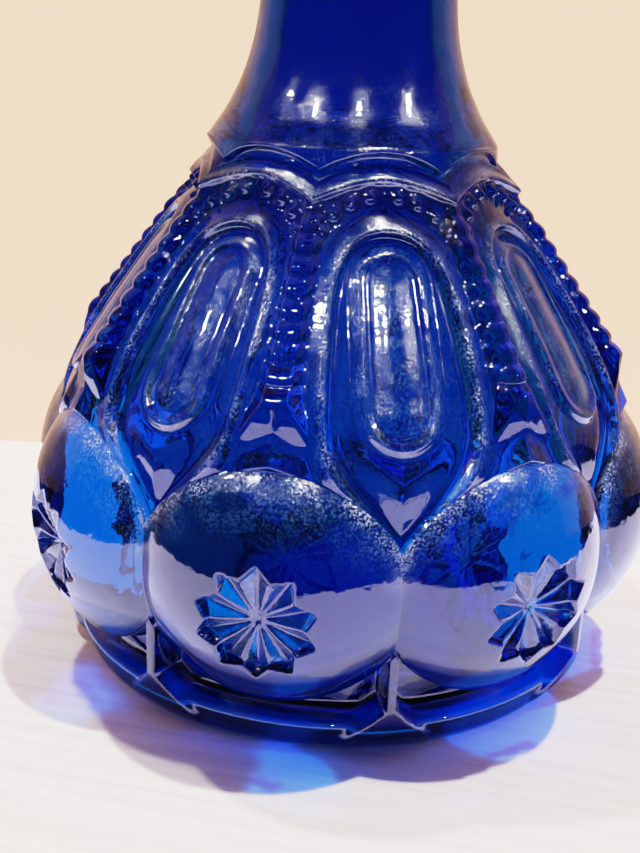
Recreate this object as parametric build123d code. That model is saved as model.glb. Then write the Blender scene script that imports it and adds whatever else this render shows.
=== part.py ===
from build123d import *
import os
from math import cos, hypot, pi, sin

# An eight-sided pressed-glass bottle with a glass stopper that sits in a cork sleeve.
# Millimetres, +Z up. The origin is the middle of the standing ring, on the table.
# One boss faces -Y; the seams and the long panels lie halfway between the bosses.

# ---- driving dimensions -------------------------------------------------
SECTORS = 8                      # bosses, ridges and panels around the bottle
SECTOR_ANGLE = 360.0 / SECTORS
FRONT_ANGLE = -90.0              # the first boss faces -Y

STANDING_RADIUS = 48.0           # outer edge of the ring that stands on the table
FOOT_TOP_RADIUS = 49.5           # top edge of the foot rim
FOOT_TOP_HEIGHT = 5.0
PUNT_RADIUS = 41.5               # hollow underneath the bottle
PUNT_DEPTH = 1.6

BOSS_CENTRE_RADIUS = 31.8        # ball that makes each round boss
BOSS_CENTRE_HEIGHT = 29.7
BOSS_BALL_RADIUS = 27.25
BOSS_EDGE_RADIUS = 20.3          # round edge where the boss leaves the body

ROSETTE_POINTS = 10              # star sunk into each boss
ROSETTE_RADIUS = 9.8
ROSETTE_WAIST = 0.80             # inner corners, as a share of the point radius
ROSETTE_HEIGHT = 26.6
ROSETTE_FACE_RADIUS = 58.6       # distance of the rosette's face from the axis
ROSETTE_DEPTH = 4.2
ROSETTE_MOUTH = 1.2              # the sunk star widens to this share just outside its face

BLADE_THICKNESS = 1.8            # upright web under each seam
BLADE_ROOT_RADIUS = 46.0
BLADE_RADIUS = 52.3
BLADE_TOP = 19.8
BLADE_HEEL = 9.5                 # below this height the web spreads into its toe
TOE_HEIGHT = 2.0
TOE_ROOT_RADIUS = 44.0
TOE_LENGTH = 4.9
TOE_WIDTH = 14.0

RIDGE_HALF_WIDTH = 1.5           # flat crest of the ribbed ridge above each boss
RIDGE_FLANK = 5.0
RIDGE_FLANK_ANGLE = 42.0
RIB_COUNT = 9                    # ladder ribs down each crest
RIB_PITCH = 3.6
RIB_NOTCH_RADIUS = 1.2           # round notch cut between two ribs
RIB_NOTCH_LIFT = 0.5             # the notch's axis stands this far off the crest

PANEL_RAISE = 1.5                # border and oval stand this far off the panel floor
PANEL_BORDER = 2.2
OVAL_LENGTH = 33.0
OVAL_WIDTH = 13.0
OVAL_RISE = 5.9                  # middle of the oval above the middle of the panel
RELIEF_REACH = 9.0               # how far the panel ornament is drawn in and out

COLLAR_RADIUS = 25.3
COLLAR_ARCH_TOP = 92.2           # scalloped lower edge, highest over the panels
COLLAR_ARCH_RADIUS = 16.9
COLLAR_TOP = 94.6

BOTTLE_HEIGHT = 190.0
LIP_RADIUS = 24.0
NECK_RADIUS = 16.0
CHAMBER_FLOOR = 8.0              # glass this thick above the table
CHAMBER_FLOOR_RADIUS = 37.0
THROAT_RADIUS = 12.2
BORE_BOTTOM = 160.0              # tapered seat for the cork sleeve
BORE_BOTTOM_RADIUS = 12.7
BORE_TOP_RADIUS = 14.9

FIT_GAP = 0.05                   # radial clearance of each running fit
CORK_WALL = 2.6
CORK_BOTTOM = 161.0
CORK_TOP = 191.5
SHANK_BOTTOM = 158.0
DISC_RADIUS = 17.6               # disc that rests over the cork
HEAD_BOTTOM = 192.0
HEAD_CENTRE = 211.0
HEAD_CORE_RADIUS = 16.6
HEAD_LOBE_RADIUS = 9.0
HEAD_LOBE_ORBIT = 11.0
HEAD_WAIST_RADIUS = 9.0
BUTTON_RADIUS = 5.0
BUTTON_CENTRE = 226.0

OUT_FOLDER = "parts"


# ---- small helpers ------------------------------------------------------
def spun(*lines):
    """Solid of revolution about Z from a closed chain of lines drawn in the XZ plane."""
    return revolve(make_face(Curve() + list(lines)), Axis.Z)


def around(shape, offset_angle):
    """The shape, drawn along +X, once in every sector."""
    first = FRONT_ANGLE + offset_angle
    return [Rot(0, 0, first + SECTOR_ANGLE * i) * shape for i in range(SECTORS)]


def spin_profile(points):
    """Solid of revolution about Z from a closed polygon of (radius, height) points."""
    corners = [(r, 0, z) for r, z in points]
    return revolve(make_face(Polyline(*corners, close=True)), Axis.Z)


def at(r, z):
    """A point of the XZ plane."""
    return Vector(r, 0, z)


# ---- the body under the ornament ---------------------------------------
PANEL_FOOT = (49.2, 38.0)
PANEL_BELLY = (48.3, 46.5)
PANEL_BREAK = (45.4, 54.3)
PANEL_HEAD = (27.2, 84.0)
COLLAR_GROOVE = (24.4, 89.6)


def body_solid(extra=0.0):
    """Plain turned body up to the collar, made thicker over the panels by extra."""
    top_r, top_z = COLLAR_GROOVE
    foot, belly, brk, head = [
        at(r + extra, z) for r, z in (PANEL_FOOT, PANEL_BELLY, PANEL_BREAK, PANEL_HEAD)
    ]
    ring_inner = at(PUNT_RADIUS + 2, 0)
    ring_outer = at(STANDING_RADIUS - 0.8, 0)
    foot_edge = at(STANDING_RADIUS, 0.8)
    rim_outer = at(FOOT_TOP_RADIUS, FOOT_TOP_HEIGHT)
    rim_inner = at(FOOT_TOP_RADIUS - 1, FOOT_TOP_HEIGHT + 0.8)
    cove = at(45.6, 9.5)
    under_boss = at(47.6, 20.0)
    return spun(
        Line(at(0, PUNT_DEPTH), at(PUNT_RADIUS, PUNT_DEPTH)),
        Line(at(PUNT_RADIUS, PUNT_DEPTH), ring_inner),
        Line(ring_inner, ring_outer),
        Line(ring_outer, foot_edge),
        Line(foot_edge, rim_outer),
        Line(rim_outer, rim_inner),
        ThreePointArc(rim_inner, cove, under_boss),
        Line(under_boss, foot),
        ThreePointArc(foot, belly, brk),
        Line(brk, head),
        Line(head, at(top_r, top_z)),
        Line(at(top_r, top_z), at(0, top_z)),
        Line(at(0, top_z), at(0, PUNT_DEPTH)),
    )


def neck_solid():
    """Collar, neck and flared lip, with the arches cut into the collar's lower edge."""
    low = COLLAR_GROOVE[1] - 1.6
    shoulder = at(COLLAR_RADIUS, COLLAR_TOP - 2.2)
    waist = [shoulder, at(23.6, 95.6), at(19.7, 102.2), at(17.5, 109.0), at(16.75, 115.0)]
    waist += [at(NECK_RADIUS, 128.0)]
    flare_start = at(NECK_RADIUS, 158.0)
    lip_under = at(LIP_RADIUS - 0.8, BOTTLE_HEIGHT - 4.4)
    lip_top = at(LIP_RADIUS - 2.2, BOTTLE_HEIGHT)
    neck = spun(
        Line(at(0, low), at(COLLAR_RADIUS - 0.4, low)),
        Line(at(COLLAR_RADIUS - 0.4, low), shoulder),
        Spline(*waist, tangents=[(-0.2, 0, 1), (0, 0, 1)]),
        Line(waist[-1], flare_start),
        Spline(flare_start, at(18.2, 176.0), lip_under, tangents=[(0, 0, 1), (1, 0, 1)]),
        ThreePointArc(lip_under, at(LIP_RADIUS, BOTTLE_HEIGHT - 2.4), lip_top),
        Line(lip_top, at(0, BOTTLE_HEIGHT)),
        Line(at(0, BOTTLE_HEIGHT), at(0, low)),
    )
    arch_height = COLLAR_ARCH_TOP - COLLAR_ARCH_RADIUS
    arch = Pos(COLLAR_GROOVE[0], 0, arch_height) * Rot(0, 90, 0) * Cylinder(
        COLLAR_ARCH_RADIUS, 8, align=(Align.CENTER, Align.CENTER, Align.MIN)
    )
    return neck - around(arch, SECTOR_ANGLE / 2)


def hollow_solid():
    """The space inside: a smooth chamber, the throat and the tapered seat for the cork."""
    wall = [at(43.6, 15.0), at(44.4, 28.0), at(44.2, 38.0), at(41.6, 49.0), at(36.0, 60.0), at(29.0, 71.0)]
    wall += [at(22.6, 82.0), at(19.4, 90.0), at(15.2, 101.0), at(13.0, 110.0), at(THROAT_RADIUS, 120.0)]
    floor_edge = at(CHAMBER_FLOOR_RADIUS, CHAMBER_FLOOR)
    throat_top = at(THROAT_RADIUS, BORE_BOTTOM - 0.5)
    seat_low = at(BORE_BOTTOM_RADIUS, BORE_BOTTOM)
    seat_high = at(BORE_TOP_RADIUS, BOTTLE_HEIGHT)
    mouth = at(BORE_TOP_RADIUS + 0.8, BOTTLE_HEIGHT + 1)
    return spun(
        Line(at(0, CHAMBER_FLOOR), floor_edge),
        ThreePointArc(floor_edge, at(42.0, 10.2), wall[0]),
        Spline(*wall),
        Line(wall[-1], throat_top),
        Line(throat_top, seat_low),
        Line(seat_low, seat_high),
        Line(seat_high, mouth),
        Line(mouth, at(0, BOTTLE_HEIGHT + 1)),
        Line(at(0, BOTTLE_HEIGHT + 1), at(0, CHAMBER_FLOOR)),
    )


# ---- ornament, each drawn once along +X --------------------------------
def star_face(radius, distance):
    """Ten-pointed outline facing along +X, at a distance from the axis."""
    corners = []
    for i in range(2 * ROSETTE_POINTS):
        turn = pi * i / ROSETTE_POINTS
        reach = radius if i % 2 == 0 else radius * ROSETTE_WAIST
        corners.append((distance, reach * sin(turn), ROSETTE_HEIGHT + reach * cos(turn)))
    return make_face(Polyline(*corners, close=True))


def boss_solid():
    """Round boss: a ball trimmed to a round edge, with the fluted star sunk into its face."""
    ball = Pos(BOSS_CENTRE_RADIUS, 0, BOSS_CENTRE_HEIGHT) * Rot(0, 0, 180) * Sphere(BOSS_BALL_RADIUS)
    trim = Pos(40, 0, BOSS_CENTRE_HEIGHT) * Rot(0, 90, 0) * Cylinder(
        BOSS_EDGE_RADIUS, 30, align=(Align.CENTER, Align.CENTER, Align.MIN)
    )
    mouth = star_face(ROSETTE_RADIUS * ROSETTE_MOUTH, ROSETTE_FACE_RADIUS + 1.2)
    heart = Vertex(ROSETTE_FACE_RADIUS - ROSETTE_DEPTH, 0, ROSETTE_HEIGHT)
    return (ball & trim) - loft([mouth, heart], ruled=True)


def blade_solid():
    """Upright web under a seam, spreading into a wedge where it meets the foot rim."""
    length = BLADE_RADIUS - BLADE_ROOT_RADIUS
    web = Pos(BLADE_ROOT_RADIUS, 0, BLADE_HEEL) * Box(
        length, BLADE_THICKNESS, BLADE_TOP - BLADE_HEEL, align=(Align.MIN, Align.CENTER, Align.MIN)
    )
    heel = Plane.XY.offset(BLADE_HEEL) * Pos(BLADE_ROOT_RADIUS, 0) * Rectangle(
        length, BLADE_THICKNESS, align=(Align.MIN, Align.CENTER)
    )
    toe = Plane.XY.offset(TOE_HEIGHT) * Pos(TOE_ROOT_RADIUS, 0) * Rectangle(
        TOE_LENGTH, TOE_WIDTH, align=(Align.MIN, Align.CENTER)
    )
    return web + loft([toe, heel], ruled=True)


RIDGE_TOP = (26.2, 88.4)
RIDGE_BEND = (33.8, 80.4)
RIDGE_END = (50.4, 58.5)
RIDGE_BACK = [(51.6, 48.0), (44.0, 48.0), (22.0, 84.0), (22.0, 88.4)]   # buried in the body


def ridge_solid():
    """Ridge above a boss: a flat crest with ladder ribs, and flanks sloping to the panels."""
    outline = [RIDGE_TOP, RIDGE_BEND, RIDGE_END] + RIDGE_BACK
    face = make_face(Polyline(*[at(r, z) for r, z in outline], close=True))
    crest = extrude(face, RIDGE_HALF_WIDTH, both=True)
    side = Pos(0, RIDGE_HALF_WIDTH, 0) * face
    flank = extrude(side, RIDGE_FLANK, dir=(0, 1, 0), taper=RIDGE_FLANK_ANGLE)
    ridge = crest + flank + mirror(flank, Plane.XZ)
    run_r = RIDGE_END[0] - RIDGE_BEND[0]
    run_z = RIDGE_END[1] - RIDGE_BEND[1]
    run = hypot(run_r, run_z)
    notch = Rot(90, 0, 0) * Cylinder(RIB_NOTCH_RADIUS, 2 * RIDGE_HALF_WIDTH + 0.6)
    for i in range(RIB_COUNT):
        along = run - 1.6 - RIB_PITCH * i
        r = RIDGE_BEND[0] + run_r * along / run - RIB_NOTCH_LIFT * run_z / run
        z = RIDGE_BEND[1] + run_z * along / run + RIB_NOTCH_LIFT * run_r / run
        ridge -= Pos(r, 0, z) * notch
    return ridge


# The panel's own flat frame: x across, y up the slope, looking at it from outside.
PANEL_PLANE = Plane(origin=(43.0, 0, 60.0), x_dir=(0, 1, 0), z_dir=(0.843, 0, 0.538))


def arched_face(inset):
    """Outline of a panel: round head, sides that spread and then close to a point at the seam."""
    head = (0, 25.0 - inset)
    brow = (7.4 - 0.7 * inset, 21.0 - 0.7 * inset)
    shoulder = (10.0 - inset, 12.6)
    hip = (12.2 - inset, -5.0)
    thigh = (11.0 - inset, -12.0 + 0.2 * inset)
    knee = (7.4 - 0.9 * inset, -17.8 + 0.5 * inset)
    tip = (0, -25.0 + 1.6 * inset)
    right = [
        ThreePointArc(head, brow, shoulder),
        Line(shoulder, hip),
        ThreePointArc(hip, thigh, knee),
        Line(knee, tip),
    ]
    left = [mirror(edge, Plane.YZ) for edge in right]
    return make_face(Curve() + right + left)


def panel_border():
    """The border left between a panel's outline and the same outline drawn smaller."""
    return arched_face(0.0) - arched_face(PANEL_BORDER)


def panel_solids(raised_body):
    """Border and oval of one panel, standing off the panel floor."""
    border = extrude(PANEL_PLANE * panel_border(), RELIEF_REACH, both=True)
    slot = Pos(0, OVAL_RISE) * Rot(0, 0, 90) * SlotOverall(OVAL_LENGTH, OVAL_WIDTH)
    oval = extrude(PANEL_PLANE * slot, RELIEF_REACH, both=True)
    return [border & raised_body, oval & raised_body]


def bottle():
    """The whole glass bottle as one solid."""
    raised = body_solid(PANEL_RAISE)
    pieces = around(boss_solid(), 0)
    pieces += around(ridge_solid(), 0)
    pieces += around(blade_solid(), SECTOR_ANGLE / 2)
    for piece in panel_solids(raised):
        pieces += around(piece, SECTOR_ANGLE / 2)
    glass = (body_solid() + neck_solid()) + pieces
    return glass - hollow_solid()


# ---- closure ------------------------------------------------------------
def seat_radius(z):
    """Radius of the tapered seat in the neck at a height."""
    share = (z - BORE_BOTTOM) / (BOTTLE_HEIGHT - BORE_BOTTOM)
    return BORE_BOTTOM_RADIUS + (BORE_TOP_RADIUS - BORE_BOTTOM_RADIUS) * share


def cork_sleeve():
    """Tapered cork tube between the neck and the stopper's shank."""
    low = seat_radius(CORK_BOTTOM) - FIT_GAP
    high = seat_radius(CORK_TOP) - FIT_GAP
    return spin_profile([
        (low - CORK_WALL, CORK_BOTTOM),
        (low - 0.5, CORK_BOTTOM),
        (low + 0.04, CORK_BOTTOM + 0.6),
        (high, CORK_TOP),
        (high - CORK_WALL, CORK_TOP),
    ])


def glass_stopper():
    """Tapered glass shank, a disc over the cork, and a knob of eight lobes with a button on top."""
    low = seat_radius(CORK_BOTTOM) - FIT_GAP - CORK_WALL - FIT_GAP
    high = seat_radius(CORK_TOP) - FIT_GAP - CORK_WALL - FIT_GAP
    shank = spin_profile([
        (0, SHANK_BOTTOM),
        (low - 1.0, SHANK_BOTTOM),
        (low - 0.1, SHANK_BOTTOM + 1),
        (high, CORK_TOP),
        (high, HEAD_BOTTOM + 1),
        (0, HEAD_BOTTOM + 1),
    ])
    disc_low = at(DISC_RADIUS - 1.1, HEAD_BOTTOM)
    disc_high = at(DISC_RADIUS - 1.1, HEAD_BOTTOM + 2.2)
    waist = at(HEAD_WAIST_RADIUS, HEAD_BOTTOM + 9.0)
    foot = spun(
        Line(at(0, HEAD_BOTTOM), disc_low),
        ThreePointArc(disc_low, at(DISC_RADIUS, HEAD_BOTTOM + 1.1), disc_high),
        ThreePointArc(disc_high, at(9.6, HEAD_BOTTOM + 4.6), waist),
        Line(waist, at(0, HEAD_BOTTOM + 9.0)),
        Line(at(0, HEAD_BOTTOM + 9.0), at(0, HEAD_BOTTOM)),
    )
    knob = Pos(0, 0, HEAD_CENTRE) * Sphere(HEAD_CORE_RADIUS)
    lobe = Pos(HEAD_LOBE_ORBIT, 0, HEAD_CENTRE) * Sphere(HEAD_LOBE_RADIUS)
    button = Pos(0, 0, BUTTON_CENTRE) * Sphere(BUTTON_RADIUS)
    return shank + foot + knob + around(lobe, 0) + button


# ---- write one file per piece ------------------------------------------
NODES = {
    "bottle": bottle,
    "cork_sleeve": cork_sleeve,
    "glass_stopper": glass_stopper,
}

os.makedirs(OUT_FOLDER, exist_ok=True)
for name, make in NODES.items():
    export_step(make(), OUT_FOLDER + "/" + name + ".step")
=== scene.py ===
from math import cos, pi, radians, sin, sqrt

import bpy
import numpy as np
from mathutils import Matrix, Vector, noise


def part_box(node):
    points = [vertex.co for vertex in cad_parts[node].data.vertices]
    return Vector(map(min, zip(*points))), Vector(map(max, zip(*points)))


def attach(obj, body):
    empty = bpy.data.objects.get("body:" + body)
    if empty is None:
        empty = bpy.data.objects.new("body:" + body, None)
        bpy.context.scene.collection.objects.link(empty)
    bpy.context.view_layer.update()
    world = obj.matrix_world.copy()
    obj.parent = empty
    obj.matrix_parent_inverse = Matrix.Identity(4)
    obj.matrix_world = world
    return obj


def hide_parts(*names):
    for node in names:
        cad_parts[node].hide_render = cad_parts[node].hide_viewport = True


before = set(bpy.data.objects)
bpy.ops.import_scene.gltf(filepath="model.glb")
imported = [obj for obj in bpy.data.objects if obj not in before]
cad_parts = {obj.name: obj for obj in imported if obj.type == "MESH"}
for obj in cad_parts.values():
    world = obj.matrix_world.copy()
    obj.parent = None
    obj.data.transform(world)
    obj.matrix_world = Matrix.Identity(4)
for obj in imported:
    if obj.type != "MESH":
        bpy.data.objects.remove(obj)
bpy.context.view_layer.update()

# Sizes are in millimetres and turned into metres when a mesh is made.
MM = 0.001

# ---- sizes taken from the frame -----------------------------------------
cork_low, cork_high = [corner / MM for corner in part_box("cork_sleeve")]

SECTORS = 8
HALF_SECTOR = pi / SECTORS
FRONT = -pi / 2                      # the first boss faces -Y

# ---- the bottle's shape --------------------------------------------------
BOSS_X = 31.8                        # centre and radius of the ball behind each boss
BOSS_Z = 29.7
BOSS_BALL = 27.25
EDGE_Z = 29.2                        # oval edge of a boss, seen from straight ahead
EDGE_HEIGHT = 19.2
EDGE_WIDTH_ABOVE = 21.8
EDGE_WIDTH_BELOW = 23.0
SEAM_RADIUS = 52.4

STAR_Z = 26.6
STAR_TIP = 9.7                       # reach of a point, and of the notch between two
STAR_NOTCH = 7.7
STAR_POINTS = 10
STAR_WALL = 0.5

WEB_RADIUS = 52.3                    # upright web under each seam
WEB_HALF = 0.85                      # half its thickness, and half its spread where it meets the rim
WEB_TOE_HALF = 6.5
WEB_HEEL = 9.5                       # heights where the spread starts and where it is widest
WEB_TOE = 3.0

RIDGE_END = 58.5                     # height where a ribbed ridge stops above its boss
BROW_Z = 80.5                        # height where it turns in towards the collar
RIB_PITCH = 2.87                     # measured up the axis
RIB_HEIGHT = 0.8
BEAD_PITCH = 3.3

COLLAR_EDGE = 92.2                   # height of the collar's lower edge over the middle of a panel
COLLAR_ARC = 16.9                    # radius of a scallop
COLLAR_RADIUS = 25.3
COLLAR_TOP = 92.9
COLLAR_OUT = 25.55

FOOT_SINK = 1.9                      # height of the sunk base in its middle
FLOOR_Z = 8.0                        # inside floor
THROAT_Z = 158.0                     # lower end of the stopper's seat
THROAT_RADIUS = 12.2
LIP_LOW = 185.6                      # where the neck turns into the lip
LIP_LOW_RADIUS = 23.0
LIP_TOP = 190.0


def smooth(low, high, x):
    """Smooth step from 0 at low to 1 at high."""
    t = np.clip((x - low) / (high - low), 0.0, 1.0)
    return t * t * (3.0 - 2.0 * t)


def bell(x, width):
    """Bump of height 1 round zero."""
    return np.exp(-((x / width) ** 2))


def soft_max(a, b, width):
    """The larger of two surfaces, with the crease between them rounded over a width."""
    share = np.clip(0.5 + 0.5 * (a - b) / width, 0.0, 1.0)
    return b + (a - b) * share + width * share * (1.0 - share)


def soft_min(a, b, width):
    """The smaller of two surfaces, joined in the same way."""
    return -soft_max(-a, -b, width)


def curve_through(points, steps):
    """Smooth curve (a Catmull-Rom spline) through points, as rows of coordinates."""
    p = np.array(points, float)
    p = np.vstack([2 * p[0] - p[1], p, 2 * p[-1] - p[-2]])
    t = np.linspace(0, 1, steps, endpoint=False)[:, None]
    out = []
    for i in range(1, len(p) - 2):
        a, b, c, d = p[i - 1 : i + 3]
        bend = (2 * a - 5 * b + 4 * c - d) * t**2
        twist = (3 * b - a - 3 * c + d) * t**3
        out.append(0.5 * (2 * b + (c - a) * t + bend + twist))
    return np.vstack(out + [p[-2:-1]])


def distance_to(line, x, y):
    """Distance from each point to a polyline, and how far along it the nearest place is."""
    best = np.full(x.shape, 1e9)
    along = np.zeros(x.shape)
    walked = 0.0
    for (ax, ay), (bx, by) in zip(line[:-1], line[1:]):
        dx, dy = bx - ax, by - ay
        length = sqrt(dx * dx + dy * dy)
        t = np.clip(((x - ax) * dx + (y - ay) * dy) / (length * length), 0.0, 1.0)
        d = np.hypot(x - ax - t * dx, y - ay - t * dy)
        near = d < best
        best = np.where(near, d, best)
        along = np.where(near, walked + t * length, along)
        walked += length
    return best, along


# ---- panels over the seams ----------------------------------------------
# Height and distance from the axis of a panel's highest surface, on its centre line.
PANEL_PROFILE = curve_through([
    (30, 49.6), (35, 51.0), (41, 51.7), (47, 50.7), (52, 48.6), (60, 44.3),
    (70, 37.6), (78.5, 31.6), (83, 29.0), (88.6, 26.6), (93, 24.6)], 12)
PANEL_RUN = np.concatenate([[0], np.cumsum(np.hypot(*np.diff(PANEL_PROFILE, axis=0).T))])
PANEL_DEPTH = 1.25

# Outlines on the right half of a panel, as (across, height).
BORDER = [
    (0, 81.3), (5.2, 79.8), (8.8, 75.2), (10.8, 67.5), (12.0, 58.0),
    (11.8, 52.0), (9.4, 47.0), (4.6, 41.2), (0, 36.4)]
BORDER_RISE = 1.6
BORDER_INNER = 1.2                   # how fast the rolled border falls inwards and outwards
BORDER_OUTER = 2.3
OVAL_TOP = 78.7
OVAL_BOTTOM = 51.2
OVAL_TOP_RADIUS = 5.9
OVAL_BOTTOM_RADIUS = 6.6
BEAD_ARCH = [(0, 86.2), (4.0, 85.5), (7.4, 83.9), (9.6, 81.8), (11.4, 79.2), (12.7, 76.6)]
CORD_ARCH = [(0, 88.5), (4.0, 88.0), (8.0, 86.9), (12.0, 85.4)]


def panel_x(z):
    return np.interp(z, PANEL_PROFILE[:, 0], PANEL_PROFILE[:, 1])


def panel_run(z):
    """Distance up the panel's curved face."""
    return np.interp(z, PANEL_PROFILE[:, 0], PANEL_RUN)


def on_face(points, steps=8):
    """Outline drawn across the panel's face and up its curve, smooth where it meets its mirror image."""
    mirrored = [(-x, z) for x, z in reversed(points) if x > 0]
    line = curve_through(mirrored + points, steps)
    line = line[line[:, 0] >= -1.5]
    return np.column_stack([line[:, 0], panel_run(line[:, 1])])


def inside_border(across, up):
    """1 inside a panel's border and 0 outside it."""
    line = on_face(BORDER)
    line = line[line[:, 0] >= 0]
    edge = np.interp(up, line[::-1, 1], line[::-1, 0], left=-1, right=-1)
    return np.where(across < edge, 1.0, 0.0)


def inside_oval(across, up):
    """Distance inside the edge of the oval, which is two circles joined by straight sides."""
    low = panel_run(OVAL_BOTTOM) + OVAL_BOTTOM_RADIUS
    length = panel_run(OVAL_TOP) - OVAL_TOP_RADIUS - low
    lean = (OVAL_BOTTOM_RADIUS - OVAL_TOP_RADIUS) / length
    upright = sqrt(1 - lean * lean)
    x, y = np.abs(across), up - low
    along = y * upright - x * lean
    side = x * upright + y * lean - OVAL_BOTTOM_RADIUS
    bottom = np.hypot(x, y) - OVAL_BOTTOM_RADIUS
    top = np.hypot(x, y - length) - OVAL_TOP_RADIUS
    return -np.where(along < 0, bottom, np.where(along > upright * length, top, side))


def panel_relief(across, z):
    """How far the pressed ornament stands off the panel's high surface, and how frosted it is."""
    up = panel_run(z)
    height = -PANEL_DEPTH * np.ones(across.shape)
    # the rolled border with its fine crest, and the bulge in the lower half of the panel
    border, _ = distance_to(on_face(BORDER), across, up)
    within = inside_border(across, up)
    fall = BORDER_OUTER + (BORDER_INNER - BORDER_OUTER) * within
    height += BORDER_RISE * bell(border, fall) + 0.25 * bell(border, 0.6)
    height += 1.3 * smooth(0.8, 7.5, border) * within * smooth(60.0, 47.0, z)
    # the raised oval with its rim
    inside = inside_oval(across, up)
    shoulder = smooth(-0.9, 1.0, inside)
    height += shoulder * (0.85 + 0.5 * bell(inside - 1.2, 0.8) + 0.6 * smooth(1.8, 6.0, inside))
    # the arch of beads, and the cord above it
    bead, along = distance_to(on_face(BEAD_ARCH), across, up)
    bead_wave = 0.5 + 0.5 * np.cos(2 * pi * along / BEAD_PITCH)
    height += (0.2 + 1.2 * bead_wave) * bell(bead, 1.05) * smooth(76.5, 79.5, z)
    cord, _ = distance_to(on_face(CORD_ARCH), across, up)
    cord_rise = bell(cord, 0.95) * smooth(80.0, 84.5, z)
    height += 1.2 * cord_rise
    # frosting on the border's crest, the oval and its rim, and the cord
    on_oval = 0.25 * smooth(1.0, 4.0, inside) + 0.45 * bell(inside - 0.8, 0.9)
    frost = 0.15 + 0.85 * bell(border, 0.85) + on_oval
    frost = np.maximum(frost * smooth(84.0, 81.0, z) * smooth(40.0, 50.0, z), 0.9 * cord_rise)
    return height, frost


def panel_radius(angle, z):
    """Distance from the axis of the panel's surface, and its frosting, at an angle from the boss below."""
    off = HALF_SECTOR - angle
    r = panel_x(z) / np.cos(off)
    for _ in range(4):
        height, frost = panel_relief(r * np.sin(off), z)
        r = (panel_x(z) + height) / np.cos(off)
    return r, frost


# ---- ridges over the bosses ---------------------------------------------
def ridge_radius(angle, z):
    """Distance from the axis of the ribbed ridge, and of the broad plain end below it."""
    crest = np.interp(z, [40, 48.5, RIDGE_END, BROW_Z - 0.1, 87.0, 92], [49.0, 50.2, 50.6, 33.8, 27.2, 22.0])
    half = np.interp(z, [44, 48.5, RIDGE_END, 80], [9.5, 8.4, 1.9, 1.3])
    slope = np.interp(z, [48.5, 54, RIDGE_END, 80], [1.0, 1.4, 1.9, 2.1])
    crown = 0.10 + 0.20 * smooth(RIDGE_END - 3, RIDGE_END, z)
    on_top = crest / (np.cos(angle) + crown * np.sin(angle))
    edge_x = crest - crown * half
    on_flank = (edge_x + slope * half) / (np.cos(angle) + slope * np.sin(angle))
    r = soft_min(on_top, on_flank, 0.5)
    aside = r * np.sin(angle)
    ladder = smooth(RIDGE_END - 0.3, RIDGE_END + 0.3, z) * smooth(86, 82, z)
    phase = (z - RIDGE_END - 0.6) / RIB_PITCH
    gap = 1 - np.abs(np.cos(pi * phase)) ** 0.8
    return r - ladder * gap * RIB_HEIGHT * smooth(4.4, 2.2, aside)


def upper_radius(angle, z):
    """The higher of panel and ridge, and how frosted it is."""
    panel, frost = panel_radius(angle, z)
    ridge = ridge_radius(angle, z)
    frost = frost * smooth(0.6, -0.4, ridge - panel)
    return soft_max(panel, ridge, 0.5), frost


# ---- bosses and stars ---------------------------------------------------
def boss_edge(angle, above):
    """Height of a boss's edge at an angle from its middle."""
    y = SEAM_RADIUS * np.sin(angle)
    if above:
        return EDGE_Z + EDGE_HEIGHT * np.sqrt(1 - (y / EDGE_WIDTH_ABOVE) ** 2)
    return EDGE_Z - EDGE_HEIGHT * np.sqrt(1 - (y / EDGE_WIDTH_BELOW) ** 2)


def ball_radius(angle, z):
    reach = BOSS_BALL**2 - (z - BOSS_Z) ** 2 - (BOSS_X * np.sin(angle)) ** 2
    return BOSS_X * np.cos(angle) + np.sqrt(np.maximum(reach, 0))


def star_depth(across, z):
    """Depth of the star sunk into a boss: a folded fan with a steep wall round it."""
    up = z - STAR_Z
    reach = np.hypot(across, up)
    step = pi / STAR_POINTS
    turn = np.abs(np.arctan2(across, up)) % (2 * step)
    turn = np.minimum(turn, 2 * step - turn)
    edge = STAR_TIP * STAR_NOTCH * sin(step) / (STAR_TIP * np.sin(turn) + STAR_NOTCH * np.sin(step - turn))
    fold = 1.0 - turn / step
    t = np.clip(reach / edge, 0, 1)
    ridge = 3.6 - 2.9 * t
    valley = 4.0 - 1.7 * t
    floor = ridge + (valley - ridge) * fold
    return floor * np.clip((edge - reach) / STAR_WALL, 0, 1)


def boss_radius(angle, z):
    """Distance from the axis of a boss's surface, and how frosted it is."""
    r = ball_radius(angle, z)
    across = r * np.sin(angle)
    depth = star_depth(across, z)
    from_edge = boss_edge(angle, True) - z
    on_brow = 0.75 * smooth(3.4, 0.4, from_edge) + 0.45 * smooth(11.0, 2.0, from_edge)
    return r - depth, 0.3 * smooth(0.4, 1.5, depth) + on_brow


# ---- foot ---------------------------------------------------------------
def foot_rows(angle):
    """Rows of (radius, height) from the standing ring up to the lower edge of the bosses."""
    edge_z = boss_edge(angle, False)
    edge_r = ball_radius(angle, edge_z)
    one = np.ones(angle.shape)
    points = [
        (46.7 * one, 0.0 * one),
        (47.6 * one, 0.18 * one),
        (48.0 * one, 0.9 * one),
        (49.35 * one, 4.5 * one),
        (49.35 * one, 5.1 * one),
        (48.8 * one, 5.55 * one),
        (47.3 * one, 6.1 * one),
        (46.3 * one, 6.9 * one),
        (45.9 * one, 7.9 * one),
        (46.3 * one, edge_z - 1.5),
        (47.6 * one, edge_z - 0.9),
        (edge_r - 0.9, edge_z - 0.42),
        (edge_r, edge_z),
    ]
    steps = [2, 2, 8, 2, 2, 4, 3, 3, 22, 3, 6, 3]
    rows = []
    for (r0, z0), (r1, z1), n in zip(points[:-1], points[1:], steps):
        for i in range(n):
            rows.append((r0 + (r1 - r0) * i / n, z0 + (z1 - z0) * i / n))
    return [(web_over(angle, r, z), z, 0.04 * one) for r, z in rows]


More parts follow.
